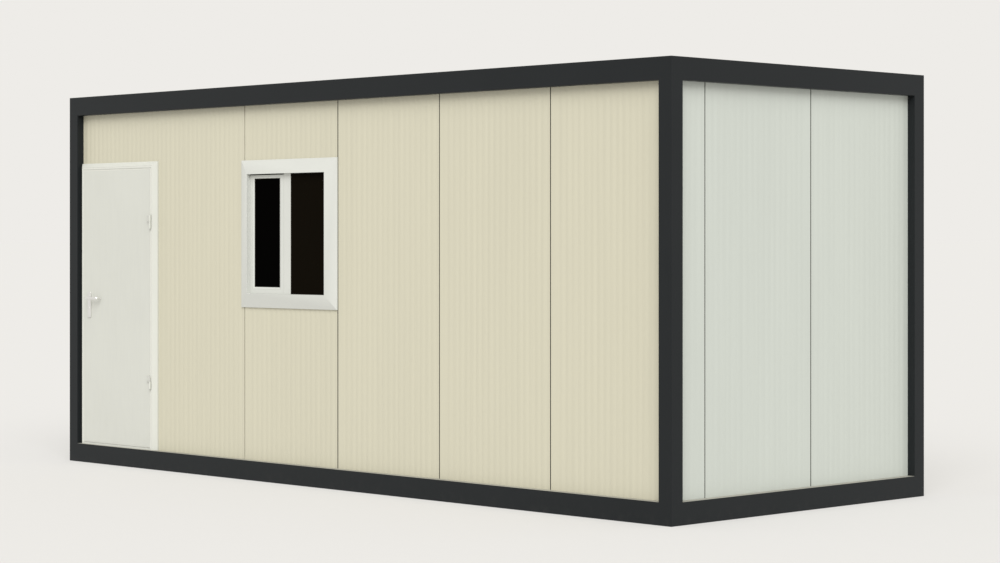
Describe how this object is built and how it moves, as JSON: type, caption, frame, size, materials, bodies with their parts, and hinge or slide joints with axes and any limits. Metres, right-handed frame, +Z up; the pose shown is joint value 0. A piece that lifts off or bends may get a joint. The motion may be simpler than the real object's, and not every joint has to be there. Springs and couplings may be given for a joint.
{
  "type": "portable site cabin",
  "caption": "Flat-roofed steel-framed site cabin with insulated panel walls, an outward-opening door and a two-part window.",
  "frame": {"origin": "centre of the footprint at ground level", "axes": "+X along the long walls towards the gable away from the door, -Y out of the front wall with the door and window, +Z up"},
  "size_m": [6, 2.46, 2.7],
  "materials": {
    "frame_steel": "anthracite paint, satin",
    "joist_steel": "galvanised",
    "roof_sheet": "galvanised and lightly weathered",
    "cream_panel": "cream coated steel, satin",
    "pale_panel": "grey-white coated steel, satin",
    "door_white": "off-white paint, satin",
    "window_white": "white plastic, satin",
    "glass": "clear",
    "floor_board": "sealed board",
    "ceiling_board": "white faced board",
    "handle_metal": "satin"
  },
  "bodies": {
    "cabin": {"back_base_beam": "frame_steel", "back_left_post": "frame_steel", "back_panel_1": "cream_panel", "back_panel_2": "cream_panel", "back_panel_3": "cream_panel", "back_panel_4": "cream_panel", "back_panel_5": "cream_panel", "back_panel_6": "cream_panel", "back_right_post": "frame_steel", "back_top_beam": "frame_steel", "ceiling_board": "ceiling_board", "door_frame": "door_white", "door_header_panel": "cream_panel", "floor_board": "floor_board", "floor_joists": "frame_steel", "frame_hinges": "door_white", "front_base_beam": "frame_steel", "front_left_post": "frame_steel", "front_panel_1": "cream_panel", "front_panel_2": "cream_panel", "front_panel_3": "cream_panel", "front_panel_4": "cream_panel", "front_panel_5": "cream_panel", "front_right_post": "frame_steel", "front_top_beam": "frame_steel", "left_base_beam": "frame_steel", "left_panel_1": "pale_panel", "left_panel_2": "pale_panel", "left_panel_3": "pale_panel", "left_top_beam": "frame_steel", "right_base_beam": "frame_steel", "right_panel_1": "pale_panel", "right_panel_2": "pale_panel", "right_panel_3": "pale_panel", "right_top_beam": "frame_steel", "roof_joists": "joist_steel", "roof_sheet": "roof_sheet", "window_casing": "window_white", "window_frame": "window_white", "window_glass": "glass", "window_sash": "window_white"},
    "door": {"door_leaf": "door_white", "leaf_hinges": "door_white", "handle_plates": "handle_metal"},
    "lever": {"door_lever": "handle_metal"}
  },
  "joints": [
    {"name": "door_swing", "type": "hinge", "parent": "cabin", "child": "door", "pos_m": [-2.013, -1.205, 1.135], "axis": [0, 0, 1], "range_deg": [0, 165]},
    {"name": "lever_turn", "type": "hinge", "parent": "door", "child": "lever", "pos_m": [-2.768, -1.175, 1.214], "axis": [0, 1, 0], "range_deg": [0, 40], "stiffness_Nm_per_rad": 2, "springref_deg": -45.84}
  ]
}
